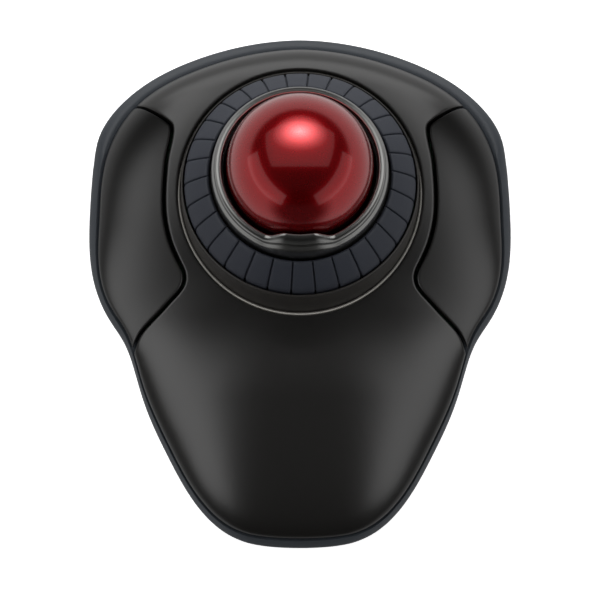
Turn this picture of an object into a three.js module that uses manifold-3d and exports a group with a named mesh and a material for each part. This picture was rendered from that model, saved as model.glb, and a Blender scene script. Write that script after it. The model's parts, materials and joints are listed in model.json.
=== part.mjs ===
// Wireless trackball with a scroll ring: two shells, two large side buttons, a
// rubber-faced ring turning round a 40 mm ball, and everything held inside.
// Millimetres, +X to the user's right, +Y away from the user, +Z up.
// Origin: middle of the footprint, on the surface it stands on.
// The body is laid out on a drawing whose ball measures 42.6 mm; FIT brings the
// drawing to the real size, set by the 40 mm ball. Bought-in pieces of a standard
// size (cells, switches, plug) are drawn at their real size divided by FIT.
import * as THREE from "three";
import { mergeVertices } from "three/addons/utils/BufferGeometryUtils.js";
import Module from "manifold-3d";

// ---------- driving dimensions ----------
const BALL_R = 21.3; // ball on the drawing
const FIT = 20 / BALL_R; // drawing to real size: a 40 mm ball
const BALL_Z = 44.5; // ball centre above the desk
const BALL_Y = 25.25; // ball and ring axis, in front-to-back direction
const TURRET_Z = 47; // datum of the ring, collar and bezel above the desk
const TILT = 0.152; // rise of the top surface under the turret
const CLEAR = 0.3; // gap between pieces that touch
const SPLIT_GAP = 0.9; // visible gap round the buttons and at the parting line
const SHELL_T = 1.6; // wall of the top shell and of the buttons
const FLOOR_LOW = 1.5; // underside of the lower case
const FLOOR_TOP = 3.5; // inner face of the lower case's floor
const RING_NOTCHES = 30; // grooves in the rubber of the scroll ring
const NOTCH_PHASE = -94.3; // angle of one groove, degrees from +X
const CELL_R = 5.25 / FIT; // AAA cell, 10.5 mm across
const CELL_H = 22.25 / FIT; // half of its 44.5 mm
const CELL_Z = 8.65;
const PALM_TOP = 20.3; // height of the palm rest
const SEG = 64; // facets round the outline

// Rim of the lower case, and parting line, as radii about the ball axis, every
// 3 degrees from straight back (0) to straight towards the user (180).
const RIM = [52.55, 52.55, 52.61, 52.71, 52.88, 53.1, 53.38, 53.73, 54.14, 54.62, 55.17, 55.79, 56.48, 57.25, 58.07, 58.93, 59.81, 60.68, 61.52, 62.32, 63.05, 63.69, 64.16, 64.4, 64.32, 63.95, 63.51, 63.16, 62.94, 62.86, 62.9, 63.08, 63.39, 63.8, 64.29, 64.81, 65.31, 65.75, 66.09, 66.33, 66.45, 66.44, 66.48, 66.91, 68.01, 69.71, 71.85, 74.27, 76.82, 79.44, 82.24, 85.31, 88.75, 92.38, 95.89, 98.93, 101.2, 102.5, 102.9, 102.95, 102.95];
const PART = [47.49, 47.48, 47.51, 47.6, 47.75, 47.95, 48.21, 48.54, 48.93, 49.4, 49.93, 50.53, 51.21, 51.97, 52.81, 53.71, 54.63, 55.54, 56.42, 57.22, 57.93, 58.51, 58.96, 59.28, 59.51, 59.64, 59.69, 59.67, 59.64, 59.62, 59.68, 59.85, 60.18, 60.71, 61.37, 62.09, 62.81, 63.45, 63.95, 64.28, 64.4, 64.34, 64.45, 65.09, 66.38, 68.18, 70.32, 72.66, 75.06, 77.56, 80.26, 83.28, 86.68, 90.29, 93.78, 96.86, 99.1, 100.3, 100.6, 100.6, 100.6];
// Inner edge of the right-hand button, back to front, [x, y].
const SPLIT = [[60, 63.2], [48.9, 54.1], [46.7, 52.5], [43.1, 49.6], [39.5, 46.6], [38.1, 45.0], [37.9, 43.1], [38.3, 40.2], [39.3, 35.5], [39.8, 30.7], [40.1, 25.4], [40.0, 19.8], [39.3, 15.1], [37.9, 10.1], [36.0, 5.8], [34.4, 2.5], [34.0, 0.5], [34.4, -1.6], [35.7, -3.6], [38.2, -6.2], [41.0, -9.1], [43.9, -11.9], [46.5, -14.6], [48.1, -17.2], [49.0, -19.8], [53, -32]];

// ---------- shape functions ----------
const rad = (d) => (d * Math.PI) / 180;
function lookup(table, th) {
  // th: angle from straight back, radians, either side
  const t = (Math.abs(Math.atan2(Math.sin(th), Math.cos(th))) * 60) / Math.PI;
  const i = Math.min(59, Math.floor(t)), f = t - i;
  const a = table[Math.abs(i - 1)], b = table[i], c = table[i + 1], d = table[i + 2 > 60 ? 120 - i - 2 : i + 2];
  return b + 0.5 * f * (c - a + f * (2 * a - 5 * b + 4 * c - d + f * (3 * (b - c) + d - a)));
}
const rimZ = (y) => 7.5 + 0.06 * y; // height of the widest line of the lower case
const partZ = (y) => rimZ(y) + 3.0; // height of the shell's lower edge
const EDGE = 0.6;
function crown(y) {
  // height the top surface would have with no fall-off to its edge
  if (y >= -10) return 16.6 + 0.18 * (y + 10) + 0.0009 * (y + 10) ** 2;
  if (y <= -36) return PALM_TOP;
  const t = (-10 - y) / 26;
  return (2 * t ** 3 - 3 * t ** 2 + 1) * 16.6 - (t ** 3 - 2 * t ** 2 + t) * 26 * 0.18 + (3 * t ** 2 - 2 * t ** 3) * PALM_TOP;
}
function topZ(x, y) {
  const th = Math.atan2(x, y - BALL_Y), r = Math.hypot(x, y - BALL_Y);
  const R = lookup(PART, th), s = Math.min(1, r / R);
  const e = partZ(BALL_Y + R * Math.cos(th)) + EDGE;
  const t = Math.min(1, Math.max(0, (-6 - y) / 30)); // rounder across the palm than round the turret
  return e + (crown(y) - e) * Math.pow(1 - s ** (4 - t * t * (3 - 2 * t)), 0.7);
}
const seatZ = (y) => TURRET_Z - 25.1 + TILT * (y - BALL_Y); // turret's base circle

// ---------- solids ----------
const wasm = await Module();
wasm.setup();
function solid(geometry) {
  const g = geometry.clone();
  g.deleteAttribute("normal");
  g.deleteAttribute("uv");
  const m = mergeVertices(g, 1e-4);
  let tri = new Uint32Array(m.index.array);
  const v = new Float32Array(m.attributes.position.array);
  const make = () => new wasm.Manifold(new wasm.Mesh({ numProp: 3, vertProperties: v, triVerts: tri }));
  let s = make();
  if (s.volume() < 0) {
    for (let i = 0; i < tri.length; i += 3) [tri[i + 1], tri[i + 2]] = [tri[i + 2], tri[i + 1]];
    s = make();
  }
  return s;
}
function geometryOf(s) {
  const m = s.getMesh();
  const g = new THREE.BufferGeometry();
  g.setAttribute("position", new THREE.BufferAttribute(new Float32Array(m.vertProperties), 3));
  g.setIndex(new THREE.BufferAttribute(new Uint32Array(m.triVerts), 1));
  g.computeVertexNormals();
  return g;
}
// A lathe whose points are then placed by a function of angle and profile point.
function formed(count, seg, place, closed = true) {
  const prof = [];
  for (let j = 0; j < count; j++) prof.push(new THREE.Vector2(10 + 3 * Math.cos((2 * Math.PI * j) / count), 3 * Math.sin((2 * Math.PI * j) / count)));
  if (closed) prof.push(prof[0].clone());
  const g = new THREE.LatheGeometry(prof, seg);
  const pos = g.attributes.position, n = prof.length;
  for (let i = 0; i <= seg; i++)
    for (let j = 0; j < n; j++) {
      const [x, y, z] = place((i % seg), j % count);
      pos.setXYZ(i * n + j, x, y, z);
    }
  return g;
}
// Turned solid on a vertical axis; profile [radius, z], closed on itself or ending on the axis.
function turned(points, seg = 32, x = 0, y = 0, z = 0) {
  const onAxis = points[0][0] === 0 && points[points.length - 1][0] === 0;
  const p = points.map(([r, h]) => new THREE.Vector2(r, h));
  if (!onAxis) p.push(p[0].clone());
  return new THREE.LatheGeometry(p, seg).rotateX(Math.PI / 2).translate(x, y, z);
}
const box = (x0, x1, y0, y1, z0, z1) =>
  new THREE.BoxGeometry(x1 - x0, y1 - y0, z1 - z0).translate((x0 + x1) / 2, (y0 + y1) / 2, (z0 + z1) / 2);
const rod = (r, x, y, z0, z1, seg = 20) => new THREE.CylinderGeometry(r, r, z1 - z0, seg).rotateX(Math.PI / 2).translate(x, y, (z0 + z1) / 2);
function prism(points, z0, z1) {
  const s = new THREE.Shape(points.map(([x, y]) => new THREE.Vector2(x, y)));
  return new THREE.ExtrudeGeometry(s, { depth: z1 - z0, bevelEnabled: false }).translate(0, 0, z0);
}
const cut = (a, ...tools) => tools.reduce((s, t) => s.subtract(t.getMesh ? t : solid(t)), a.getMesh ? a : solid(a));
const join = (a, ...tools) => tools.reduce((s, t) => s.add(t.getMesh ? t : solid(t)), a.getMesh ? a : solid(a));
function shifted(line, d) {
  // moves a polyline sideways by d, to its left as it runs
  return line.map((p, i) => {
    const a = line[Math.max(0, i - 1)], b = line[Math.min(line.length - 1, i + 1)];
    const l = Math.hypot(b[0] - a[0], b[1] - a[1]);
    return [p[0] - ((b[1] - a[1]) / l) * d, p[1] + ((b[0] - a[0]) / l) * d];
  });
}
// Region of one button, grown (+) or shrunk (-) by d at its inner edge.
function buttonPlan(side, d) {
  // SPLIT runs from back to front on the right, so its left side is +X
  const line = shifted(SPLIT, -d).map(([x, y]) => [x * side, y]);
  const far = [[75 * side, line[line.length - 1][1]], [75 * side, line[0][1]]];
  const p = [...line, ...far];
  return side > 0 ? p : p.reverse();
}

const root = new THREE.Group();
function piece(name, shape, color, roughness, metalness = 0) {
  const g = geometryOf(shape.getMesh ? shape : solid(shape));
  const m = new THREE.Mesh(g, new THREE.MeshStandardMaterial({ color, roughness, metalness }));
  m.name = name;
  root.add(m);
  return m;
}
const SHELL = 0x2e2d2c, RIMC = 0x3b3e42, RUBBER = 0x2a2d33, SILVER = 0x8b8a86, RED = 0xa01018;
const BOARD = 0x1f5a33, STEEL = 0xb9bcc0, BLACK = 0x161616, GOLD = 0xc8a04a, GREY = 0x707378;

// ---------- top skin: one slab, later split into shell and buttons ----------
// SEG directions, evenly spaced along the rim and mirrored left to right
const ANGLES = (() => {
  const n = 720, sum = [0];
  for (let i = 1; i <= n; i++) {
    const a0 = (Math.PI * (i - 1)) / n, a1 = (Math.PI * i) / n, r0 = lookup(RIM, a0), r1 = lookup(RIM, a1);
    sum.push(sum[i - 1] + Math.hypot(r1 * Math.sin(a1) - r0 * Math.sin(a0), r1 * Math.cos(a1) - r0 * Math.cos(a0)));
  }
  const half = [];
  for (let k = 0, i = 0; k <= SEG / 2; k++) {
    const want = (sum[n] * k) / (SEG / 2);
    while (i < n && sum[i] < want) i++;
    half.push((Math.PI * i) / n);
  }
  return half.concat(half.slice(1, -1).reverse().map((a) => 2 * Math.PI - a));
})();
const dir = (i) => { const a = ANGLES[i]; return [Math.sin(a), Math.cos(a), a]; };
const HOLE_R = 36.1;
const U = [0, 0.22, 0.45, 0.67, 0.85, 0.95, 1];
function skin() {
  const n = U.length;
  return solid(formed(2 * n, SEG, (i, j) => {
    const [sx, cy, a] = dir(i);
    const R = lookup(PART, a);
    const up = j < n;
    const u = up ? U[j] : U[2 * n - 1 - j];
    let r = HOLE_R + (R - HOLE_R) * u;
    const ye = BALL_Y + R * cy;
    if (up) {
      const x = r * sx, y = BALL_Y + r * cy;
      return [x, y, topZ(x, y)];
    }
    r = Math.min(r, HOLE_R + (R - HOLE_R - 1.6) * u);
    const x = r * sx, y = BALL_Y + r * cy;
    return [x, y, Math.max(topZ(x, y) - SHELL_T, partZ(ye))];
  }));
}
const slab = skin();
// everything below the middle of the skin, to trim what is moulded onto it
const core = solid(formed(2 * U.length, SEG, (i, j) => {
  const [sx, cy, a] = dir(i), n = U.length, up = j < n;
  const R = lookup(PART, a) - 0.8, u = up ? U[j] : U[2 * n - 1 - j];
  const r = HOLE_R + (R - HOLE_R) * u, x = r * sx, y = BALL_Y + r * cy;
  return [x, y, up ? topZ(x, y) - 0.6 : 2];
}));
const CASE_SCREWS = [[-31, 57.5], [31, 57.5], [-15, -60], [15, -60]];
let shell = cut(slab, prism(buttonPlan(1, SPLIT_GAP / 2), 0, 60), prism(buttonPlan(-1, SPLIT_GAP / 2), 0, 60));
// screw bosses under the shell
for (const [x, y] of CASE_SCREWS) {
  const under = topZ(x, y) - SHELL_T;
  shell = join(shell, solid(rod(3.2, x, y, 6.2, 40, 12)).intersect(core));
  shell = cut(shell, rod(1.35, x, y, 5, under - 1.2, 8));
}
piece("top_shell", shell, SHELL, 0.55);
for (const [name, side] of [["left_button", -1], ["right_button", 1]]) {
  let b = slab.intersect(solid(prism(buttonPlan(side, -SPLIT_GAP / 2), 0, 60)));
  // post that meets the switch, rear tongue at the pivot
  b = join(b, solid(rod(1.6, 45 * side, 8, 14.3, 40, 12)).intersect(core));
  b = join(b, solid(box(side > 0 ? 41 : -47, side > 0 ? 47 : -41, 42.6, 44.2, 15.5, 40)).intersect(core));
  piece(name, b, SHELL, 0.5);
}

// ---------- lower case ----------
{
  // outer wall out to the rim and in to the parting line, then the inner wall
  const rows = [
    (R, P, y) => [R - 9.5, FLOOR_LOW],
    (R, P, y) => [R - 4.2, FLOOR_LOW + 0.5],
    (R, P, y) => [R - 1.0, FLOOR_LOW + (rimZ(y) - FLOOR_LOW) * 0.55],
    (R, P, y) => [R, rimZ(y)],
    (R, P, y) => [R - Math.min(1, (R - P) * 0.3), rimZ(y) + 1.3],
    (R, P, y) => [P + (R - P) * 0.28, partZ(y) - SPLIT_GAP + 0.45],
    (R, P, y) => [P + 0.2, partZ(y) - SPLIT_GAP],
    (R, P, y) => [P - 3.0, partZ(y) - SPLIT_GAP],
    (R, P, y) => [P - 3.0, partZ(y) - 0.3],
    (R, P, y) => [P - 3.8, partZ(y) - 0.3],
    (R, P, y) => [P - 3.8, Math.max(rimZ(y) - 0.6, FLOOR_TOP + 1.4)],
    (R, P, y) => [P - 5.0, FLOOR_TOP + 0.8],
    (R, P, y) => [P - 8.5, FLOOR_TOP],
  ];
  const n = rows.length, prof = [];
  prof.push(new THREE.Vector2(0, 0));
  for (let j = 0; j < n; j++) prof.push(new THREE.Vector2(10, 1 + j));
  prof.push(new THREE.Vector2(0, n + 2));
  const g = new THREE.LatheGeometry(prof, SEG);
  const pos = g.attributes.position, k = prof.length;
  for (let i = 0; i <= SEG; i++)
    for (let j = 0; j < k; j++) {
      const [sx, cy, a] = dir(i % SEG);
      if (j === 0) pos.setXYZ(i * k, 0, BALL_Y, FLOOR_LOW);
      else if (j === k - 1) pos.setXYZ(i * k + j, 0, BALL_Y, FLOOR_TOP);
      else {
        const R = lookup(RIM, a), P = lookup(PART, a);
        const [r, z] = rows[j - 1](R, P, BALL_Y + P * cy);
        pos.setXYZ(i * k + j, r * sx, BALL_Y + r * cy, z);
      }
    }
  let c = solid(g);
  // bosses for the ball cup, posts for the board, screw pillars, cell cradle
  for (const a of CUP_ANGLES()) c = join(c, rod(3.4, 29.2 * Math.cos(a), BALL_Y + 29.2 * Math.sin(a), 3, 18.6, 12));
  for (const [x, y] of BOARD_POSTS()) c = join(c, rod(2.6, x, y, 3, 4.3, 12));
  for (const [x, y] of CASE_SCREWS) c = join(c, rod(3.4, x, y, 3, 5.9, 12));
  c = join(c, box(-26.4, -24.6, -38.9, -16.1, 3, 11), box(24.6, 26.4, -38.9, -16.1, 3, 11));
  c = join(c, box(-20, 20, -40.8, -39.4, 3, 8.5), box(-20, 20, -15.7, -14.6, 3, 8.5));
  c = join(c, box(-11.2, 11.2, -72.2, -70.6, 3, 6.6), box(-11.2, 11.2, -50.6, -49.0, 3, 6.6)); // receiver bay ends
  c = join(c, box(-11.2, -9.2, -72.2, -49, 3, 6.6), box(9.2, 11.2, -72.2, -49, 3, 6.6));
  const tools = [
    rod(9.2, 0, BALL_Y, 0, 6, 28), // way to the ball from below
    box(-25.8, 25.8, -39.2, -15.7, 0, 5), // cell door
    box(-7.6, 7.6, -70.2, -51.0, 0, 8), // receiver bay
    box(25.4, 32.6, 48.2, 51.8, 0, 6), // power slider's slot
    rod(2.8, -29, 50, 0, 6, 20), // pairing button's hole
  ];
  for (const a of CUP_ANGLES()) tools.push(rod(1.05, 29.2 * Math.cos(a), BALL_Y + 29.2 * Math.sin(a), 9, 20, 8));
  for (const [x, y] of BOARD_SCREWS()) tools.push(rod(0.95, x, y, 2.6, 6, 10));
  for (const [x, y] of CASE_SCREWS) tools.push(rod(1.6, x, y, 0, 7, 10), rod(2.9, x, y, 0, 3.6, 12));
  for (const [x, y, r] of FEET()) tools.push(rod(r + CLEAR, x, y, 0, 2.3, 20));
  c = cut(c, ...tools);
  piece("bottom_case", c, RIMC, 0.5);
}
function CUP_ANGLES() { return [rad(90), rad(210), rad(330)]; }
function BOARD_SCREWS() { return [[-33, 38], [33, 38]]; }
function BOARD_POSTS() { return [...BOARD_SCREWS(), [-45, -6], [45, -6], [0, -10]]; }
function FEET() { return [[-40, 57 - 12, 5.5], [40, 57 - 12, 5.5], [-44, -3, 5.5], [44, -3, 5.5], [-22, -55, 5], [22, -55, 5]]; }

for (const [k, [x, y, r]] of FEET().entries())
  piece("rubber_foot_" + (k + 1), turned([[0, 0], [r - 0.4, 0], [r, 0.4], [r, 2.0], [0, 2.0]], 20, x, y, 0), BLACK, 0.9);

// ---------- turret bezel ----------
{
  const seg = 60, prof = (y) => [[34.15, TURRET_Z - 16.2], [34.65, TURRET_Z - 16.2], [35.6, seatZ(y) + 0.1], [35.7, 13.4], [34.15, 13.4]];
  piece("turret_bezel", formed(5, seg, (i, j) => {
    const a = (2 * Math.PI * i) / seg, c = Math.cos(a), s = Math.sin(a);
    const [r, z] = prof(BALL_Y + 35.7 * s)[j];
    return [r * c, BALL_Y + r * s, z];
  }), SHELL, 0.5);
}

// ---------- scroll ring: rubber tread on a hard carrier ----------
{
  const per = 4, seg = RING_NOTCHES * per;
  // [radius, z] on a pad, and the same points at the bottom of a groove
  const P = [[26.3, -8.7], [26.9, -8.1], [32.4, -13.0], [33.7, -15.2], [33.75, -18.5], [32.4, -18.5], [32.4, -16.2], [27.1, -11.2], [26.3, -11.2]];
  const G = [[26.3, -9.3], [27.0, -8.9], [31.8, -13.5], [33.0, -15.6], [33.1, -18.5], [32.4, -18.5], [32.4, -16.2], [27.1, -11.2], [26.3, -11.2]];
  const at = [-0.6, 0.6, 1.2, 10.8]; // degrees across one pitch; the first two are in the groove
  piece("scroll_ring_tread", formed(P.length, seg, (i, j) => {
    const pitch = Math.floor(i / per), k = i % per;
    const a = rad(NOTCH_PHASE + 12 * pitch + at[k]);
    const [r, z] = (k < 2 ? G : P)[j];
    return [r * Math.cos(a), BALL_Y + r * Math.sin(a), TURRET_Z + z];
  }), RUBBER, 0.75);
  let carrier = solid(turned([[26.1, -11.6], [26.9, -11.6], [32.0, -16.4], [32.0, -23.6], [30.4, -23.6], [30.4, -18.4], [26.8, -15.2], [26.8, -26.0], [25.0, -26.0], [25.0, -11.6]], 40, 0, BALL_Y, TURRET_Z));
  for (let k = 0; k < 10; k++) {
    const a = rad(36 * k + 4.5);
    carrier = cut(carrier, new THREE.BoxGeometry(4, 2.4, 3).rotateZ(a).translate(31.2 * Math.cos(a), BALL_Y + 31.2 * Math.sin(a), TURRET_Z - 23.4));
  }
  piece("scroll_ring_carrier", carrier, BLACK, 0.4);
}

// ---------- silver collar round the ball, with its raised tab towards the user ----------
{
  const seg = 60;
  // profile [radius, z]: lip, band, dark step, skirt, underside
  const Q = [[22.7, -1.6], [23.9, -1.7], [24.75, -2.8], [25.5, -4.6], [25.85, -10.8], [24.75, -10.8], [24.75, -4.1], [22.7, -3.5]];
  piece("ball_collar", formed(Q.length, seg, (i, j) => {
    const u = (2 * i) / seg - 1, a = Math.PI * (0.45 * u + 0.55 * u ** 3); // from straight towards the user, finer at the tab
    const w = Math.atan2(Math.sin(a), Math.cos(a)) * 25; // arc length from the tab's middle
    const t = Math.min(1, Math.max(0, (11 - Math.abs(w)) / 6.7));
    const k = t * t * (3 - 2 * t);
    let [r, z] = Q[j];
    const lift = [3.4, 3.2, 2.6, 2.0, 0, 0, 0, 1.2][j], pull = [1.2, 0.9, 0.4, 0.2, 0, 0, 0, 0.9][j];
    z += lift * k;
    r -= pull * k;
    return [r * Math.sin(a), BALL_Y - r * Math.cos(a), TURRET_Z + z];
  }), SILVER, 0.35, 0.6);
}

// ---------- ball and its cup ----------
piece("trackball", new THREE.SphereGeometry(BALL_R, 32, 16).rotateX(Math.PI / 2).translate(0, BALL_Y, BALL_Z), RED, 0.08);
const SENSOR_TILT = rad(40); // optical axis from straight down, towards the user
const bearing = (k) => {
  const a = rad(90 + 120 * k), e = rad(-38), d = BALL_R + CLEAR + 1.25;
  return [d * Math.cos(e) * Math.cos(a), BALL_Y + d * Math.cos(e) * Math.sin(a), BALL_Z + d * Math.sin(e)];
};
{
  const Ri = BALL_R + 0.9, arc = [], drop = BALL_Z - TURRET_Z;
  for (let d = 12; d <= 62; d += 12.5) arc.push([Ri * Math.cos(rad(d)), drop - Ri * Math.sin(rad(d))]);
  const hole = 7.6;
  const inner = [[22.2, -4.4], ...arc, [hole, drop - Math.sqrt(Ri * Ri - hole * hole)]];
  const wall = [[hole, -25.0], [12.6, -24.0], [18.4, -19.4], [22.0, -14.6], [22.9, -12.0], [22.9, -28.1], [33.2, -28.1], [33.2, -26.4], [24.4, -26.4], [24.4, -11.2], [24.4, -4.4]];
  let cup = solid(turned([...inner, ...wall], 36, 0, BALL_Y, TURRET_Z));
  for (let k = 0; k < 3; k++) {
    const [x, y, z] = bearing(k);
    cup = cut(cup, new THREE.SphereGeometry(1.25 + CLEAR, 10, 6).translate(x, y, z));
  }
  cup = cut(cup, new THREE.CylinderGeometry(3.3, 3.3, 9, 20).rotateX(Math.PI / 2 - SENSOR_TILT).translate(0, BALL_Y - 23.4 * Math.sin(SENSOR_TILT), BALL_Z - 23.4 * Math.cos(SENSOR_TILT)));
  cup = cut(cup, tiltSolid(new THREE.BoxGeometry(8.4, 7.2, 6), 27.5), tiltSolid(new THREE.BoxGeometry(16.8, 12, 4), 28.85));
  for (const a of CUP_ANGLES()) cup = cut(cup, rod(1.5, 29.2 * Math.cos(a), BALL_Y + 29.2 * Math.sin(a), 17, 22, 12));
  piece("ball_cup", cup, BLACK, 0.35);
}
["a", "b", "c"].forEach((s, k) => {
  const [x, y, z] = bearing(k);
  piece("support_bearing_" + s, new THREE.SphereGeometry(1.25, 10, 6).translate(x, y, z), 0xe8e4dc, 0.15);
});
CUP_ANGLES().forEach((a, k) => {
  const shape = turned([[0, -8], [0.75, -8], [0.75, 0], [2.0, 0], [2.0, 0.7], [1.3, 1.2], [0, 1.2]], 10, 29.2 * Math.cos(a), BALL_Y + 29.2 * Math.sin(a), TURRET_Z - 26.4 + CLEAR);
  piece("cup_screw_" + (k + 1), shape, STEEL, 0.3, 0.9);
});

// ---------- ball sensor, tilted, on its own small board ----------
function tiltSolid(geo, dist) {
  return geo.rotateX(-SENSOR_TILT).translate(0, BALL_Y - dist * Math.sin(SENSOR_TILT), BALL_Z - dist * Math.cos(SENSOR_TILT));
}
{
  piece("sensor_lens", tiltSolid(new THREE.CylinderGeometry(2.7, 2.7, 1.6, 18).rotateX(Math.PI / 2), 23.6), 0x9fb4c4, 0.1);
  piece("optical_sensor", tiltSolid(new THREE.BoxGeometry(7.6, 6.4, 2.0), 25.8), BLACK, 0.4);
  piece("sensor_board", tiltSolid(new THREE.BoxGeometry(16, 11.2, 1.0), 27.7), BOARD, 0.6);
}
{
  // flat ribbon from the sensor board down to the main board
  const path = new THREE.CatmullRomCurve3([new THREE.Vector3(0, 6.7, 21.6), new THREE.Vector3(0, 5.1, 19.2), new THREE.Vector3(0, 4.8, 16), new THREE.Vector3(0, 4.4, 12), new THREE.Vector3(0, 3.2, 7.2)]);
  const s = new THREE.Shape([new THREE.Vector2(-3, -0.2), new THREE.Vector2(3, -0.2), new THREE.Vector2(3, 0.2), new THREE.Vector2(-3, 0.2)]);
  piece("sensor_ribbon", new THREE.ExtrudeGeometry(s, { steps: 12, extrudePath: path, bevelEnabled: false }), GREY, 0.6);
}

// ---------- main board and what stands on it ----------
{
  const pts = [[-28, 62], [-36, 56], [-42, 44], [-50, 30], [-52, 6], [-49, -8], [-44, -13.6], [44, -13.6], [49, -8], [52, 6], [50, 30], [42, 44], [36, 56], [28, 62]];
  let b = solid(prism(pts.slice().reverse(), 4.6, 6.0));
  b = cut(b, rod(15, 0, BALL_Y, 4, 7, 32), box(24.6, 33.4, 48.0, 52.0, 4, 7), rod(3.6, -29, 50, 4, 7, 16));
  for (const a of CUP_ANGLES()) b = cut(b, rod(4.0, 29.2 * Math.cos(a), BALL_Y + 29.2 * Math.sin(a), 4, 7, 16));
  for (const [x, y] of CASE_SCREWS.slice(0, 2)) b = cut(b, rod(4.0, x, y, 4, 7, 16));
  for (const [x, y] of BOARD_SCREWS()) b = cut(b, rod(1.3, x, y, 4, 7, 12));
  piece("main_board", b, BOARD, 0.6);
}
BOARD_SCREWS().forEach(([x, y], k) => piece("board_screw_" + (k + 1), turned([[0, -3.4], [0.65, -3.4], [0.65, 0], [1.9, 0], [1.9, 0.6], [1.2, 1.1], [0, 1.1]], 10, x, y, 6.0 + CLEAR), STEEL, 0.3, 0.9));
for (const [side, s] of [["left", -1], ["right", 1]]) {
  const body = cut(box(45 * s - 2.9 / FIT, 45 * s + 2.9 / FIT, 8 - 6.4 / FIT, 8 + 6.4 / FIT, 6.3, 12.8), box(45 * s - 1.3, 45 * s + 1.3, 7.0, 9.0, 10.4, 14));
  piece(side + "_microswitch", body, BLACK, 0.45);
  piece(side + "_switch_plunger", box(45 * s - 1.0, 45 * s + 1.0, 7.3, 8.7, 11.4, 14.0), 0xd8d8d4, 0.4);
}
piece("controller_chip", box(-25, -18, -2, 5, 6.3, 7.5), BLACK, 0.35);
piece("radio_module", join(box(14, 30, -8, 5, 6.3, 7.1), box(15.4, 28.6, -6.8, 1.4, 6.9, 9.1)), STEEL, 0.35, 0.8);
piece("ring_encoder_sensor", new THREE.BoxGeometry(3.6, 3.2, 1.6).translate(31.0, BALL_Y, TURRET_Z - 26.4 + 1.1 + CLEAR - 0.3), BLACK, 0.3);
piece("power_switch", box(25.0, 33.0, 48.4, 51.6, 4.7, 8.2), STEEL, 0.4, 0.7);
piece("power_slider", join(box(26.0, 29.0, 48.5, 51.5, 0.9, 4.0), box(23.5, 31.5, 46.9, 53.1, 3.8, 4.3)), BLACK, 0.6);
piece("pairing_switch", box(-32.5, -25.5, 46.5, 53.5, 6.3, 9.4), STEEL, 0.4, 0.6);
piece("pairing_button", turned([[0, 1.0], [2.0, 1.0], [2.4, 1.4], [2.4, 3.8], [3.3, 3.8], [3.3, 4.4], [1.2, 4.4], [1.2, 5.5], [0, 5.5]], 16, -29, 50, 0), BLACK, 0.6);

// ---------- cells, contacts, door ----------
for (const [name, y, flip] of [["cell_front", -33.35, 1], ["cell_rear", -21.85, -1]]) {
  const r = CELL_R, h = CELL_H;
  const g = turned([[0, -h], [r - 0.8, -h], [r, -h + 0.8], [r, h - 1.9], [r - 0.8, h - 1.1], [2, h - 1.1], [2, h], [0, h]], 18).rotateY((flip * Math.PI) / 2).translate(0, y, CELL_Z);
  piece(name, g, 0x3f6f52, 0.35, 0.4);
}
piece("bridge_contact", box(-24.3, -23.95, -37.4, -17.8, 5, 12.6), STEEL, 0.25, 1);
const CONTACT = (y) => {
  // plate with a raised leaf that presses on the cell
  const p = [[24.05, 5.0], [24.3, 5.0], [24.3, 12.4], [24.05, 12.4], [23.98, 9.9], [23.96, 8.9], [23.98, 7.9], [24.02, 6.6]];
  const s = new THREE.Shape(p.map(([x, z]) => new THREE.Vector2(x, z)));
  return new THREE.ExtrudeGeometry(s, { depth: 7, bevelEnabled: false }).rotateX(Math.PI / 2).translate(0, y + 3.5, 0);
};
piece("positive_terminal", CONTACT(-33.35), GOLD, 0.25, 1);
piece("negative_terminal", CONTACT(-21.85), STEEL, 0.25, 1);
{
  let d = join(box(-25.4, 25.4, -38.8, -16.1, 1.5, 2.7));
  for (let k = 0; k < 4; k++) d = cut(d, box(-6, 6, -36.6 + k * 1.6, -35.8 + k * 1.6, 1.0, 1.9));
  piece("battery_door", d, RIMC, 0.55);
}
// ---------- stored receiver ----------
piece("receiver_cap", cut(box(-7.2, 7.2, -58.6, -51.4, 1.7, 7.2), box(-5, 5, -53, -52.4, 1, 2.1)), BLACK, 0.4);
piece("receiver_plug", box(-6 / FIT, 6 / FIT, -69.8, -58.9, 2.0, 2.0 + 4.5 / FIT), STEEL, 0.25, 1);

// ---------- case screws ----------
CASE_SCREWS.forEach(([x, y], k) => {
  const top = topZ(x, y) - SHELL_T - 1.6;
  piece("case_screw_" + (k + 1), turned([[0, 1.9], [2.5, 1.9], [2.5, 3.3], [1.0, 3.3], [1.0, top], [0, top]], 12, x, y, 0), STEEL, 0.35, 0.9);
});

root.scale.setScalar(FIT);
export default root;
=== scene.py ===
import bpy, bmesh, json, math
import numpy as np
from mathutils import Vector, Matrix
from mathutils.geometry import delaunay_2d_cdt


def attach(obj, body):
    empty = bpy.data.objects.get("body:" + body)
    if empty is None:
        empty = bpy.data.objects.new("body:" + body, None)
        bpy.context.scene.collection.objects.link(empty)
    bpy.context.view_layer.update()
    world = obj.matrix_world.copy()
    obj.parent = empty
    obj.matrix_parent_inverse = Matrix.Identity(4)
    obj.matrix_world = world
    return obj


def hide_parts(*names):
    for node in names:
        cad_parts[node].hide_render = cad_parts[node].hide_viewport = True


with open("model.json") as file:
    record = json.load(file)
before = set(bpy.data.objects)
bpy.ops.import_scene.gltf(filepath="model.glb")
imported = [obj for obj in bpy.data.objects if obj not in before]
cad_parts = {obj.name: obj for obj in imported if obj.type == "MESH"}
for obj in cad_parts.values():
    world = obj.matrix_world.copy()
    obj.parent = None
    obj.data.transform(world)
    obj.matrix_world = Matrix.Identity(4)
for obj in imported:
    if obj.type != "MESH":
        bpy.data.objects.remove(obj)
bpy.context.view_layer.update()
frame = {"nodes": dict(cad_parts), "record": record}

FIT = 20 / 21.3  # drawing to real size, as in the CAD source
MM = 0.001 * FIT

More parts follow.
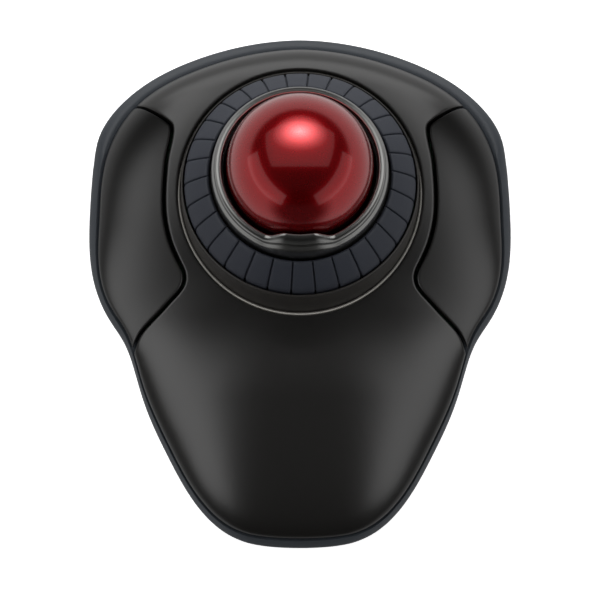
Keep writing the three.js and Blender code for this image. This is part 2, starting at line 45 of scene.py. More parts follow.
# ------------------------------------------------------------------ dimensions (mm on the drawing), as in the CAD source
BALL_R, BALL_Y, BALL_Z, TURRET_Z, TILT, PALM_TOP = 21.3, 25.25, 44.5, 47.0, 0.152, 20.3
FLOOR_LOW, FLOOR_TOP, HOLE_R, SPLIT_GAP, SKIN_T = 1.5, 3.5, 36.1, 0.9, 1.6
RIM = np.array([52.55, 52.55, 52.61, 52.71, 52.88, 53.1, 53.38, 53.73, 54.14, 54.62, 55.17, 55.79, 56.48, 57.25, 58.07, 58.93, 59.81, 60.68, 61.52, 62.32, 63.05, 63.69, 64.16, 64.4, 64.32, 63.95, 63.51, 63.16, 62.94, 62.86, 62.9, 63.08, 63.39, 63.8, 64.29, 64.81, 65.31, 65.75, 66.09, 66.33, 66.45, 66.44, 66.48, 66.91, 68.01, 69.71, 71.85, 74.27, 76.82, 79.44, 82.24, 85.31, 88.75, 92.38, 95.89, 98.93, 101.2, 102.5, 102.9, 102.95, 102.95])
PART = np.array([47.49, 47.48, 47.51, 47.6, 47.75, 47.95, 48.21, 48.54, 48.93, 49.4, 49.93, 50.53, 51.21, 51.97, 52.81, 53.71, 54.63, 55.54, 56.42, 57.22, 57.93, 58.51, 58.96, 59.28, 59.51, 59.64, 59.69, 59.67, 59.64, 59.62, 59.68, 59.85, 60.18, 60.71, 61.37, 62.09, 62.81, 63.45, 63.95, 64.28, 64.4, 64.34, 64.45, 65.09, 66.38, 68.18, 70.32, 72.66, 75.06, 77.56, 80.26, 83.28, 86.68, 90.29, 93.78, 96.86, 99.1, 100.3, 100.6, 100.6, 100.6])
SPLIT = np.array([[60, 63.2], [48.9, 54.1], [46.7, 52.5], [43.1, 49.6], [39.5, 46.6], [38.1, 45.0], [37.9, 43.1], [38.3, 40.2], [39.3, 35.5], [39.8, 30.7], [40.1, 25.4], [40.0, 19.8], [39.3, 15.1], [37.9, 10.1], [36.0, 5.8], [34.4, 2.5], [34.0, 0.5], [34.4, -1.6], [35.7, -3.6], [38.2, -6.2], [41.0, -9.1], [43.9, -11.9], [46.5, -14.6], [48.1, -17.2], [49.0, -19.8], [53, -32]])


def lookup(table, th):
    t = np.abs(np.arctan2(np.sin(th), np.cos(th))) * 60 / np.pi
    i = np.minimum(59, np.floor(t).astype(int))
    f = t - i
    j3 = np.where(i + 2 > 60, 120 - i - 2, i + 2)
    a, b, c, d = table[np.abs(i - 1)], table[i], table[i + 1], table[j3]
    return b + 0.5 * f * (c - a + f * (2 * a - 5 * b + 4 * c - d + f * (3 * (b - c) + d - a)))


def rim_z(y):
    return 7.5 + 0.06 * y


def part_z(y):
    return rim_z(y) + 3.0


def crown(y):
    y = np.asarray(y, float)
    t = np.clip((-10 - y) / 26, 0, 1)
    palm = (2 * t**3 - 3 * t**2 + 1) * 16.6 - (t**3 - 2 * t**2 + t) * 26 * 0.18 + (3 * t**2 - 2 * t**3) * PALM_TOP
    back = 16.6 + 0.18 * (y + 10) + 0.0009 * (y + 10) ** 2
    return np.where(y >= -10, back, palm)


def top_z(x, y):
    th = np.arctan2(x, y - BALL_Y)
    r = np.hypot(x, y - BALL_Y)
    R = lookup(PART, th)
    s = np.minimum(1, r / R)
    e = part_z(BALL_Y + R * np.cos(th)) + 0.6
    t = np.clip((-6 - np.asarray(y, float)) / 30, 0, 1)
    return e + (crown(y) - e) * np.power(np.maximum(0, 1 - s ** (4 - t * t * (3 - 2 * t))), 0.7)


def seat_z(y):
    return TURRET_Z - 25.1 + TILT * (y - BALL_Y)


# ------------------------------------------------------------------ mesh helpers
def add_mesh(name, verts, faces, smooth=True, sharp=None):
    """verts in mm"""
    me = bpy.data.meshes.new(name)
    me.from_pydata([tuple(v) for v in np.asarray(verts, float) * MM], [], [tuple(int(i) for i in f) for f in faces])
    me.validate()
    me.update()
    bm = bmesh.new()
    bm.from_mesh(me)
    bmesh.ops.remove_doubles(bm, verts=bm.verts, dist=1e-7)
    bmesh.ops.recalc_face_normals(bm, faces=bm.faces)
    if bm.calc_volume(signed=True) < 0:
        bmesh.ops.reverse_faces(bm, faces=bm.faces)
    if sharp is not None:
        for e in bm.edges:
            if len(e.link_faces) == 2 and e.calc_face_angle(0) > math.radians(sharp):
                e.smooth = False
    bm.to_mesh(me)
    bm.free()
    if smooth:
        me.polygons.foreach_set("use_smooth", [True] * len(me.polygons))
    o = bpy.data.objects.new(name, me)
    bpy.context.scene.collection.objects.link(o)
    return o


def loft(name, rows, closed=True, **kw):
    """rows[i][j] = point j of section i; sections close on each other, points close if closed."""
    rows = np.asarray(rows, float)
    n, m = rows.shape[:2]
    idx = np.arange(n * m).reshape(n, m)
    faces = []
    for i in range(n):
        k = (i + 1) % n
        for j in range(m if closed else m - 1):
            q = (j + 1) % m
            faces.append((idx[i, j], idx[k, j], idx[k, q], idx[i, q]))
    return add_mesh(name, rows.reshape(-1, 3), faces, **kw)


def catmull(pts, step=0.5, closed=False):
    pts = np.asarray(pts, float)
    out = []
    n = len(pts)
    rng = range(n if closed else n - 1)
    for i in rng:
        p1, p2 = pts[i], pts[(i + 1) % n]
        p0 = pts[i - 1] if (i > 0 or closed) else 2 * p1 - p2
        p3 = pts[(i + 2) % n] if (i + 2 < n or closed) else 2 * p2 - p1
        # centripetal form, so tight corners don't loop
        t0 = 0.0
        t1 = t0 + max(1e-6, np.linalg.norm(p1 - p0)) ** 0.5
        t2 = t1 + max(1e-6, np.linalg.norm(p2 - p1)) ** 0.5
        t3 = t2 + max(1e-6, np.linalg.norm(p3 - p2)) ** 0.5
        k = max(2, int(np.linalg.norm(p2 - p1) / step))
        for t in np.linspace(t1, t2, k, endpoint=False):
            A1 = (t1 - t) / (t1 - t0) * p0 + (t - t0) / (t1 - t0) * p1
            A2 = (t2 - t) / (t2 - t1) * p1 + (t - t1) / (t2 - t1) * p2
            A3 = (t3 - t) / (t3 - t2) * p2 + (t - t2) / (t3 - t2) * p3
            B1 = (t2 - t) / (t2 - t0) * A1 + (t - t0) / (t2 - t0) * A2
            B2 = (t3 - t) / (t3 - t1) * A2 + (t - t1) / (t3 - t1) * A3
            out.append((t2 - t) / (t2 - t1) * B1 + (t - t1) / (t2 - t1) * B2)
    if not closed:
        out.append(pts[-1])
    return np.array(out)


def resample(p, step, closed=False):
    q = np.vstack([p, p[:1]]) if closed else p
    d = np.r_[0, np.cumsum(np.linalg.norm(np.diff(q, axis=0), axis=1))]
    n = max(3, int(round(d[-1] / step)))
    t = np.linspace(0, d[-1], n + 1)
    if closed:
        t = t[:-1]
    return np.column_stack([np.interp(t, d, q[:, k]) for k in range(q.shape[1])])


def normals2(p, closed):
    a, b = (np.roll(p, 1, 0), np.roll(p, -1, 0)) if closed else (np.vstack([p[:1], p[:-1]]), np.vstack([p[1:], p[-1:]]))
    d = b - a
    d /= np.maximum(1e-9, np.linalg.norm(d, axis=1))[:, None]
    return np.column_stack([-d[:, 1], d[:, 0]])


def seg_dist(P, loop):
    """Distance from each point to a closed polyline."""
    a, b = loop, np.roll(loop, -1, 0)
    out = np.full(len(P), 1e9)
    ab = b - a
    L = np.maximum(1e-12, (ab**2).sum(1))
    for i0 in range(0, len(P), 2000):
        q = P[i0:i0 + 2000, None, :] - a[None]
        t = np.clip((q * ab[None]).sum(2) / L[None], 0, 1)
        d = q - t[..., None] * ab[None]
        out[i0:i0 + 2000] = np.sqrt((d**2).sum(2).min(1))
    return out


def inside(P, loop):
    x, y = P[:, 0], P[:, 1]
    c = np.zeros(len(P), bool)
    a, b = loop, np.roll(loop, -1, 0)
    for (x0, y0), (x1, y1) in zip(a, b):
        if y0 == y1:
            continue
        m = ((y0 > y) != (y1 > y)) & (x < (x1 - x0) * (y - y0) / (y1 - y0) + x0)
        c ^= m
    return c


# ------------------------------------------------------------------ plan outlines
def outline(th):
    R = lookup(PART, th)
    return np.column_stack([R * np.sin(th), BALL_Y + R * np.cos(th)])


split = resample(catmull(SPLIT, 0.4), 0.4)


def split_side(d):
    """Split line moved by d towards +X (the button), trimmed to the outline; and its two crossing angles."""
    n = normals2(split, False)
    if n[len(n) // 2, 0] < 0:
        n = -n
    p = split + n * d
    th = np.arctan2(p[:, 0], p[:, 1] - BALL_Y)
    r = np.hypot(p[:, 0], p[:, 1] - BALL_Y)
    ok = r < lookup(PART, th) - 0.05
    i = np.where(ok)[0]
    p = p[i[0]:i[-1] + 1]
    return p, th[i[0]], th[i[-1]]


STEP = 0.55
inner, ta, tb = split_side(-SPLIT_GAP / 2)
right = np.vstack([outline(np.linspace(0, ta, 160)), inner, outline(np.linspace(tb, np.pi, 260))])
left = right[::-1] * [-1, 1]
SHELL_LOOP = resample(np.vstack([right, left[1:-1]]), STEP, True)
HOLE_LOOP = np.column_stack([HOLE_R * np.sin(np.linspace(0, 2 * np.pi, 361)[:-1]), BALL_Y + HOLE_R * np.cos(np.linspace(0, 2 * np.pi, 361)[:-1])])
outer_b, ba, bb = split_side(SPLIT_GAP / 2)
BUTTON_LOOP = resample(np.vstack([outer_b, outline(np.linspace(bb, ba, 260))]), STEP, True)


def skin_piece(name, loops, test, radius=0.5, wall=2.2, extra=None, clear=0.0):
    """A shell whose top follows top_z, with rounded edges and a real thickness."""
    ins = [0.0, 0.07, 0.18, 0.34, 0.55, 0.95]
    pts, border = [], []
    for loop in loops:
        n = normals2(loop, True)
        if not test(loop[:1] + n[:1] * 0.2)[0]:
            n = -n
        start = sum(len(p) for p in pts)
        pts.append(loop)
        border.append((start, len(loop)))
        for d in ins[1:]:
            q = loop + n * d
            q = q[test(q)]
            dd = np.min([seg_dist(q, l) for l in loops], axis=0)
            pts.append(q[dd > d * 0.93])
    lo = np.min([l.min(0) for l in loops], axis=0)
    hi = np.max([l.max(0) for l in loops], axis=0)
    h = 1.35
    gx, gy = np.meshgrid(np.arange(lo[0], hi[0], h), np.arange(lo[1], hi[1], h * 0.866))
    gx = gx + (np.arange(gx.shape[0]) % 2)[:, None] * h / 2
    g = np.column_stack([gx.ravel(), gy.ravel()])
    g = g[test(g)]
    g = g[np.min([seg_dist(g, l) for l in loops], axis=0) > 1.35]
    pts.append(g)
    P = np.vstack(pts)
    edges = [(s + i, s + (i + 1) % n) for s, n in border for i in range(n)]
    V, _, F, *_ = delaunay_2d_cdt([Vector(p) for p in P], edges, [], 0, 1e-6)
    V = np.array([(v.x, v.y) for v in V])
    F = [f for f in F if len(f) == 3]
    cen = V[np.array(F)].mean(1)
    keep = test(cen)
    F = np.array(F)[keep]
    d = np.min([seg_dist(V, l) for l in loops], axis=0)
    ro = np.where(d < radius, radius - np.sqrt(np.maximum(0, radius**2 - (radius - d) ** 2)), 0)
    z = top_z(V[:, 0], V[:, 1])
    th = np.arctan2(V[:, 0], V[:, 1] - BALL_Y)
    Rp = lookup(PART, th)
    floor = part_z(BALL_Y + Rp * np.cos(th)) + clear * np.clip((15 - V[:, 1]) / 30, 0, 1)
    if extra is not None:
        z = z + extra(V, d)
    up = np.maximum(z - ro, floor + 0.15)
    down = np.maximum(z - SKIN_T, floor)
    down = np.where(d < 0.02, np.minimum(down, np.maximum(z - wall, floor)), down)
    down = np.minimum(down, up - 0.1)
    n = len(V)
    verts = np.vstack([np.column_stack([V, up]), np.column_stack([V, down])])
    faces = [tuple(f) for f in F] + [tuple(f[::-1] + n) for f in F]
    cnt = {}
    for f in F:
        for a, b in ((f[0], f[1]), (f[1], f[2]), (f[2], f[0])):
            k = (min(a, b), max(a, b))
            cnt[k] = (cnt.get(k, (0,))[0] + 1, a, b)
    for c, a, b in cnt.values():
        if c == 1:
            faces.append((b, a, a + n, b + n))
    return add_mesh(name, verts, faces, sharp=50)


def in_shell(p):
    return inside(p, SHELL_LOOP) & (np.hypot(p[:, 0], p[:, 1] - BALL_Y) > HOLE_R)


pieces = {}
pieces["top_shell"] = skin_piece("shell_skin", [SHELL_LOOP, HOLE_LOOP], in_shell)
pieces["right_button"] = skin_piece("right_button_skin", [BUTTON_LOOP], lambda p: inside(p, BUTTON_LOOP), clear=0.4)
mir = BUTTON_LOOP[::-1] * [-1, 1]
pieces["left_button"] = skin_piece("left_button_skin", [mir], lambda p: inside(p, mir), clear=0.4)

# ------------------------------------------------------------------ lower case
NS = 420
tt = np.linspace(0, 2 * np.pi, 2881)
pl = np.column_stack([lookup(RIM, tt) * np.sin(tt), lookup(RIM, tt) * np.cos(tt)])
dl = np.r_[0, np.cumsum(np.linalg.norm(np.diff(pl, axis=0), axis=1))]
ANG = np.interp(np.linspace(0, dl[-1], NS, endpoint=False), dl, tt)
rows = []
for a in ANG:
    R, P = float(lookup(RIM, np.array(a))), float(lookup(PART, np.array(a)))
    y = BALL_Y + P * math.cos(a)
    rz, pz = rim_z(y), part_z(y)
    out = catmull([[R - 9.5, FLOOR_LOW], [R - 4.2, FLOOR_LOW + 0.5], [R - 1.0, FLOOR_LOW + (rz - FLOOR_LOW) * 0.55], [R, rz],
                   [R - min(1, (R - P) * 0.3), rz + 1.3], [P + (R - P) * 0.28, pz - SPLIT_GAP + 0.45], [P + 0.25, pz - SPLIT_GAP + 0.12]], 0.8)
    lip = [[P + 0.08, pz - SPLIT_GAP], [P - 0.2, pz - SPLIT_GAP - 0.05], [P - 3.0, pz - SPLIT_GAP], [P - 3.0, pz - 0.3], [P - 3.8, pz - 0.3], [P - 3.8, max(rz - 0.6, FLOOR_TOP + 1.4)], [P - 5.0, FLOOR_TOP + 0.8], [P - 8.5, FLOOR_TOP]]
    rows.append((out, lip, a))
NOUT = 22
sec = []
for out, lip, a in rows:
    d = np.r_[0, np.cumsum(np.linalg.norm(np.diff(out, axis=0), axis=1))]
    t = np.linspace(0, d[-1], NOUT)
    o2 = np.column_stack([np.interp(t, d, out[:, 0]), np.interp(t, d, out[:, 1])])
    prof = np.vstack([o2, lip])
    sec.append(np.column_stack([prof[:, 0] * math.sin(a), BALL_Y + prof[:, 0] * math.cos(a), prof[:, 1]]))
sec = np.array(sec)
n, m = sec.shape[:2]
idx = np.arange(n * m).reshape(n, m)
faces = [(idx[i, j], idx[(i + 1) % n, j], idx[(i + 1) % n, j + 1], idx[i, j + 1]) for i in range(n) for j in range(m - 1)]
faces.append(tuple(idx[:, 0]))
faces.append(tuple(idx[::-1, -1]))
case = add_mesh("lower_case", sec.reshape(-1, 3), faces)


def cyl(x, y, r, z0, z1, seg=48, r2=None):
    a = np.linspace(0, 2 * np.pi, seg, endpoint=False)
    r2 = r if r2 is None else r2
    v = [(x + r * math.cos(t), y + r * math.sin(t), z0) for t in a] + [(x + r2 * math.cos(t), y + r2 * math.sin(t), z1) for t in a]
    f = [(i, (i + 1) % seg, seg + (i + 1) % seg, seg + i) for i in range(seg)] + [tuple(range(seg))[::-1], tuple(range(seg, 2 * seg))]
    return v, f


def slab(x0, x1, y0, y1, z0, z1, r=0.0):
    c = []
    if r > 0:
        for cx, cy, a0 in ((x1 - r, y1 - r, 0), (x0 + r, y1 - r, 90), (x0 + r, y0 + r, 180), (x1 - r, y0 + r, 270)):
            for k in range(7):
                t = math.radians(a0 + 15 * k)
                c.append((cx + r * math.cos(t), cy + r * math.sin(t)))
    else:
        c = [(x1, y1), (x0, y1), (x0, y0), (x1, y0)]
    k = len(c)
    v = [(x, y, z0) for x, y in c] + [(x, y, z1) for x, y in c]
    f = [(i, (i + 1) % k, k + (i + 1) % k, k + i) for i in range(k)] + [tuple(range(k))[::-1], tuple(range(k, 2 * k))]
    return v, f


def boolean(obj, parts, op="DIFFERENCE"):
    for v, f in parts:
        t = add_mesh("tool", v, f, smooth=False)
        mod = obj.modifiers.new("b", "BOOLEAN")
        mod.operation = op
        mod.solver = "EXACT"
        mod.object = t
        dg = bpy.context.evaluated_depsgraph_get()
        me = bpy.data.meshes.new_from_object(obj.evaluated_get(dg))
        obj.modifiers.remove(mod)
        obj.data = me
        bpy.data.objects.remove(t)


FEET = [(-40, 45, 5.5), (40, 45, 5.5), (-44, -3, 5.5), (44, -3, 5.5), (-22, -55, 5), (22, -55, 5)]
SCREWS = [(-31, 57.5), (31, 57.5), (-15, -60), (15, -60)]
CUPA = [math.radians(a) for a in (90, 210, 330)]
adds = [cyl(29.2 * math.cos(a), BALL_Y + 29.2 * math.sin(a), 3.4, 3, 18.6) for a in CUPA]
adds += [cyl(x, y, 2.6, 3, 4.3) for x, y in [(-33, 38), (33, 38), (-45, -6), (45, -6), (0, -10)]]
adds += [cyl(x, y, 3.4, 3, 5.9) for x, y in SCREWS]
adds += [slab(-26.4, -24.6, -38.9, -16.1, 3, 11), slab(24.6, 26.4, -38.9, -16.1, 3, 11), slab(-20, 20, -40.8, -39.4, 3, 8.5), slab(-20, 20, -15.7, -14.6, 3, 8.5)]
adds += [slab(-11.2, 11.2, -72.2, -49, 3, 6.6)]
cuts = [cyl(0, BALL_Y, 9.2, 0, 6, 72), cyl(0, BALL_Y, 10.6, 0.5, 2.3, 72, 9.0), slab(-25.8, 25.8, -39.2, -15.7, 0, 5, 1.2), slab(-7.6, 7.6, -70.2, -51, 0, 8, 1.0),
        slab(25.4, 32.6, 48.2, 51.8, 0, 6, 0.8), cyl(-29, 50, 2.8, 0, 6)]
cuts += [cyl(x, y, 1.6, 0, 7) for x, y in SCREWS] + [cyl(x, y, 2.9, 0, 3.6) for x, y in SCREWS] + [cyl(x, y, r + 0.3, 0, 2.3, 64) for x, y, r in FEET]
boolean(case, adds, "UNION")
boolean(case, cuts)
case.data.polygons.foreach_set("use_smooth", [True] * len(case.data.polygons))
pieces["bottom_case"] = case


def sharpen(o, deg=35):
    bm = bmesh.new()
    bm.from_mesh(o.data)
    for e in bm.edges:
        if len(e.link_faces) == 2 and e.calc_face_angle(0) > math.radians(deg):
            e.smooth = False
    bm.to_mesh(o.data)
    bm.free()


sharpen(case)

# ------------------------------------------------------------------ turret bezel, with a rounded bead at its foot
NB = 300


def bead(cx, cz, r, a0, a1, k=8):
    return [[cx + r * math.cos(math.radians(t)), cz + r * math.sin(math.radians(t))] for t in np.linspace(a0, a1, k)]


sec = []
for i in range(NB):
    a = 2 * math.pi * i / NB
    y = BALL_Y + 35.6 * math.sin(a)
    s = seat_z(y)
    p = [[34.2, TURRET_Z - 16.45], [34.3, TURRET_Z - 16.25], [34.5, TURRET_Z - 16.2], [34.68, TURRET_Z - 16.4], [34.8, TURRET_Z - 17.2]]
    for t in np.linspace(0.15, 1, 9):
        z0, z1 = TURRET_Z - 17.2, s + 0.75
        p.append([34.8 + 0.35 * t, z0 + (z1 - z0) * t])
    p += [[35.25, s + 0.3], [35.3, s - 1.2], [35.5, 13.4], [34.15, 13.4]]
    sec.append([[r * math.cos(a), BALL_Y + r * math.sin(a), z] for r, z in p])
pieces["turret_bezel"] = loft("bezel_ring", sec, sharp=60)
sec = []
for i in range(NB):
    a = 2 * math.pi * i / NB
    s = seat_z(BALL_Y + 35.7 * math.sin(a))
    p = bead(35.72, s + 0.25, 0.40, 200, -20, 13) + [[36.08, s - 0.6], [35.34, s - 0.6]]
    sec.append([[r * math.cos(a), BALL_Y + r * math.sin(a), z] for r, z in p])
bead_ring = loft("bezel_foot_bead", sec, sharp=60)

# ------------------------------------------------------------------ rubber tread of the ring
PER = 18
frac = np.array([-0.55, -0.42, -0.25, 0, 0.25, 0.42, 0.55, 0.75, 1.05, 1.6, 2.8, 4.4, 6.0, 7.6, 9.2, 10.4, 10.95, 11.25])


def groove(deg):
    """0 on the pad, 1 at the bottom of a groove."""
    w = min(abs(deg), abs(12 - deg)) / 0.5
    return max(0.0, 1 - w**4) if w < 1 else 0.0


TOP = catmull([[26.32, -9.3], [26.42, -8.55], [27.0, -8.15], [29.6, -10.05], [32.2, -12.65], [33.35, -14.2], [33.72, -15.3], [33.76, -18.3]], 0.35)
NRM = normals2(TOP, False)
if NRM[len(NRM) // 2, 1] < 0:
    NRM = -NRM
UNDER = np.array([[33.5, -18.5], [32.4, -18.5], [32.4, -16.2], [27.1, -11.2], [26.32, -11.2]])
sec = []
for p in range(30):
    for f in frac:
        a = math.radians(-94.3 + 12 * p + f)
        g = groove(f)
        w = min(abs(f), abs(12 - f))
        soft = 0.12 * max(0.0, 1 - max(0, w - 0.5) / 0.9) ** 2 if w > 0.5 else 0.12
        fade = np.clip((TOP[:, 0] - 26.35) / 0.5, 0, 1)
        prof = TOP - NRM * ((g * 0.62 + soft) * fade)[:, None]
        prof = np.vstack([prof, UNDER])
        sec.append([[r * math.cos(a), BALL_Y + r * math.sin(a), TURRET_Z + z] for r, z in prof])
pieces["scroll_ring_tread"] = loft("ring_tread", sec, sharp=70)

# ------------------------------------------------------------------ silver collar with its raised tab
NC = 360
Q = catmull([[22.62, -2.3], [22.66, -1.9], [22.9, -1.65], [23.5, -1.6], [24.1, -1.8], [24.55, -2.25], [24.75, -2.9]], 0.12)
Q2 = np.array([[24.78, -3.5], [24.95, -3.85], [25.25, -4.15], [25.5, -4.6], [25.62, -5.4], [25.75, -7.4], [25.85, -10.8], [24.75, -10.8], [24.6, -4.4], [23.4, -3.7], [22.62, -3.4]])
QA = np.vstack([Q, Q2])


def tab_shape(w):
    t = np.clip((11.2 - abs(w)) / 6.9, 0, 1)
    return t * t * (3 - 2 * t)


lift_of = lambda r, z: np.clip(np.interp(z, [-10.8, -6.0, -4.0, -2.7, -1.6], [0, 0.9, 2.0, 2.6, 3.4]), 0, 3.4)
pull_of = lambda z: np.interp(z, [-6.0, -4.0, -2.7, -1.6], [0, 0.2, 0.45, 1.2])
sec = []
for i in range(NC):
    u = 2 * i / NC - 1
    a = math.pi * (0.45 * u + 0.55 * u**3)
    k = tab_shape(math.atan2(math.sin(a), math.cos(a)) * 25)
    row = []
    for r, z in QA:
        row.append([(r - pull_of(z) * k) * math.sin(a), BALL_Y - (r - pull_of(z) * k) * math.cos(a), TURRET_Z + z + lift_of(r, z) * k])
    sec.append(row)
pieces["ball_collar"] = loft("collar_ring", sec, sharp=60)

# ------------------------------------------------------------------ ball
nu, nv = ((144, 96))
v = [(0, BALL_Y, BALL_Z + BALL_R)]
for j in range(1, nv):
    for i in range(nu):
        e, a = math.pi * j / nv, 2 * math.pi * i / nu
        v.append((BALL_R * math.sin(e) * math.cos(a), BALL_Y + BALL_R * math.sin(e) * math.sin(a), BALL_Z + BALL_R * math.cos(e)))
v.append((0, BALL_Y, BALL_Z - BALL_R))
f = [(0, 1 + i, 1 + (i + 1) % nu) for i in range(nu)]
for j in range(nv - 2):
    for i in range(nu):
        a, b = 1 + j * nu + i, 1 + j * nu + (i + 1) % nu
        f.append((a, a + nu, b + nu, b))
f += [(len(v) - 1, 1 + (nv - 2) * nu + (i + 1) % nu, 1 + (nv - 2) * nu + i) for i in range(nu)]
pieces["trackball"] = add_mesh("ball_red", v, f)


# ------------------------------------------------------------------ materials
def lin(c):
    return tuple((x / 12.92 if x <= 0.04045 else ((x + 0.055) / 1.055) ** 2.4) for x in (k / 255 for k in c))


def material(name, rgb, rough, metal=0.0, vary=0.10, grain=900.0, bump=0.02, rvary=0.05, spec=0.5, coat=0.0, coat_rough=0.05, rgb2=None, trans=0.0, scale2=35.0, ior=1.5):
    m = bpy.data.materials.new(name)
    m.use_nodes = True
    t = m.node_tree
    b = t.nodes["Principled BSDF"]
    base = lin(rgb)
    tc = t.nodes.new("ShaderNodeTexCoord")
    n1 = t.nodes.new("ShaderNodeTexNoise")
    n1.inputs["Scale"].default_value = scale2
    n1.inputs["Detail"].default_value = 5
    n2 = t.nodes.new("ShaderNodeTexNoise")
    n2.inputs["Scale"].default_value = grain
    n2.inputs["Detail"].default_value = 3
    for k in (n1, n2):
        t.links.new(tc.outputs["Object"], k.inputs["Vector"])
    mix = t.nodes.new("ShaderNodeMix")
    mix.data_type = "RGBA"
    lo = tuple(x * (1 - vary) for x in base)
    hi = lin(rgb2) if rgb2 else tuple(min(1, x * (1 + vary)) for x in base)
    mix.inputs[6].default_value = (*lo, 1)
    mix.inputs[7].default_value = (*hi, 1)
    t.links.new(n1.outputs["Fac"], mix.inputs[0])
    t.links.new(mix.outputs[2], b.inputs["Base Color"])
    mr = t.nodes.new("ShaderNodeMapRange")
    mr.inputs["To Min"].default_value = max(0, rough - rvary)
    mr.inputs["To Max"].default_value = min(1, rough + rvary)
    t.links.new(n2.outputs["Fac"], mr.inputs["Value"])
    t.links.new(mr.outputs["Result"], b.inputs["Roughness"])
    if bump:
        bp = t.nodes.new("ShaderNodeBump")
        bp.inputs["Strength"].default_value = min(1, bump * 8)
        bp.inputs["Distance"].default_value = 0.00004
        t.links.new(n2.outputs["Fac"], bp.inputs["Height"])
        t.links.new(bp.outputs["Normal"], b.inputs["Normal"])
    b.inputs["Metallic"].default_value = metal
    b.inputs["Specular IOR Level"].default_value = spec
    b.inputs["IOR"].default_value = ior
    if coat:
        b.inputs["Coat Weight"].default_value = coat
        b.inputs["Coat Roughness"].default_value = coat_rough
    if trans:
        b.inputs["Transmission Weight"].default_value = trans
    return m


M = {
    "shell": material("shell_plastic", (22, 21, 20), 0.31, vary=0.06, grain=2600, bump=0.03, rvary=0.04, spec=0.5),
    "button": material("button_plastic", (24, 23, 22), 0.36, vary=0.06, grain=2600, bump=0.03, rvary=0.04, spec=0.5),
    "rim": material("rim_plastic", (50, 54, 59), 0.42, vary=0.07, grain=2200, bump=0.02, spec=0.3),
    "bezel": material("bezel_plastic", (50, 48, 46), 0.36, vary=0.06, grain=2600, bump=0.02, spec=0.35),
    # bead: light satin grey, partly a painted highlight: lighter than the bezel so its foot shows the bright line that
    # light draws there
    "bead": material("bead_satin_painted_highlight", (96, 94, 90), 0.30, metal=0.4, vary=0.06, grain=2600, bump=0.01, spec=0.5),
    "rubber": material("tread_rubber", (43, 46, 54), 0.55, vary=0.09, grain=1800, bump=0.05, spec=0.3),
    "silver": material("collar_silver", (158, 158, 156), 0.30, metal=0.97, vary=0.05, grain=2600, bump=0.01, rvary=0.03),
    "ball": material("ball_resin", (158, 6, 16), 0.27, metal=0.85, vary=0.06, grain=400, bump=0.0, rvary=0.02, spec=0.1, coat=1.0, coat_rough=0.09, scale2=60),
    "black": material("inner_black", (24, 24, 25), 0.4, bump=0.02),
    "board": material("board_mask", (22, 84, 46), 0.42, vary=0.2, grain=600, bump=0.02),
    "steel": material("plated_steel", (176, 178, 182), 0.28, metal=1.0, vary=0.05, grain=1500, bump=0.01),
    "gold": material("gold_contact", (205, 160, 78), 0.25, metal=1.0, vary=0.06),
    "white": material("white_bearing", (222, 216, 205), 0.15, vary=0.04, bump=0.0),
    "lens": material("sensor_glass", (190, 205, 214), 0.05, vary=0.04, bump=0.0, trans=0.7),
    "cell": material("cell_sleeve", (58, 104, 78), 0.32, metal=0.35, vary=0.12, scale2=20),
    "ribbon": material("ribbon_flat", (196, 196, 190), 0.5, vary=0.08),
    "foot": material("foot_rubber", (26, 26, 27), 0.85, vary=0.12, grain=1400, bump=0.06, spec=0.3),
}
NEW_MAT = {"top_shell": ("shell", "shell"), "left_button": ("button", "shell"), "right_button": ("button", "shell"), "bottom_case": ("rim", "rim"), "turret_bezel": ("bezel", "shell"),
           "scroll_ring_tread": ("rubber", "rubber"), "ball_collar": ("silver", "silver"), "trackball": ("ball", "ball")}
BODY = {"left_button": "left_button", "right_button": "right_button", "scroll_ring_tread": "scroll_ring", "trackball": "ball"}
for node, o in pieces.items():
    o.data.materials.clear()
    o.data.materials.append(M[NEW_MAT[node][0]])
    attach(o, BODY.get(node, "case"))
    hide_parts(node)

# the bead's light grey partly paints the highlight line at the bezel's foot; the foot_line lamp also lights it
bead_ring.data.materials.append(M["bead"])
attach(bead_ring, "case")

SLOT_MAT = {"shell": "shell", "rim": "rim", "rubber": "rubber", "inner_plastic": "black", "silver": "silver", "ball": "ball", "white": "white", "lens": "lens", "circuit_board": "board", "steel": "steel", "gold": "gold", "cell": "cell", "foot": "foot"}
slots = {s["node"]: s["material_slot"] for s in frame["record"]["subparts"]}
for name, o in frame["nodes"].items():
    if name in pieces:
        continue
    o.data.materials.clear()
    o.data.materials.append(M["ribbon" if name == "sensor_ribbon" else SLOT_MAT[slots[name]]])
    bv = o.modifiers.new("edge", "BEVEL")
    bv.width = 0.12 * MM
    bv.segments = 2
    bv.limit_method = "ANGLE"
    bv.angle_limit = math.radians(50)
    o.data.polygons.foreach_set("use_smooth", [False] * len(o.data.polygons))

# ------------------------------------------------------------------ floor, light, camera
WORLD_LOW, WORLD_HIGH, KEY, STRIP = 0.6, 0.03, 0.4, 0.6
SIDE_L, SIDE_R, BACK = 2.6, 2.2, 2.3
fl = add_mesh("floor", [(-3000, -3000, -0.05), (3000, -3000, -0.05), (3000, 3000, -0.05), (-3000, 3000, -0.05)], [(0, 1, 2, 3)], smooth=False)
fm = bpy.data.materials.new("floor_pale")
fm.use_nodes = True
fb = fm.node_tree.nodes["Principled BSDF"]
fb.inputs["Base Color"].default_value = (0.9, 0.9, 0.9, 1)
fb.inputs["Roughness"].default_value = 0.9
fb.inputs["Specular IOR Level"].default_value = 0.1
fb.inputs["Emission Color"].default_value = (1, 1, 1, 1)
fb.inputs["Emission Strength"].default_value = 0.8
fl.data.materials.append(fm)
fl.visible_glossy = False

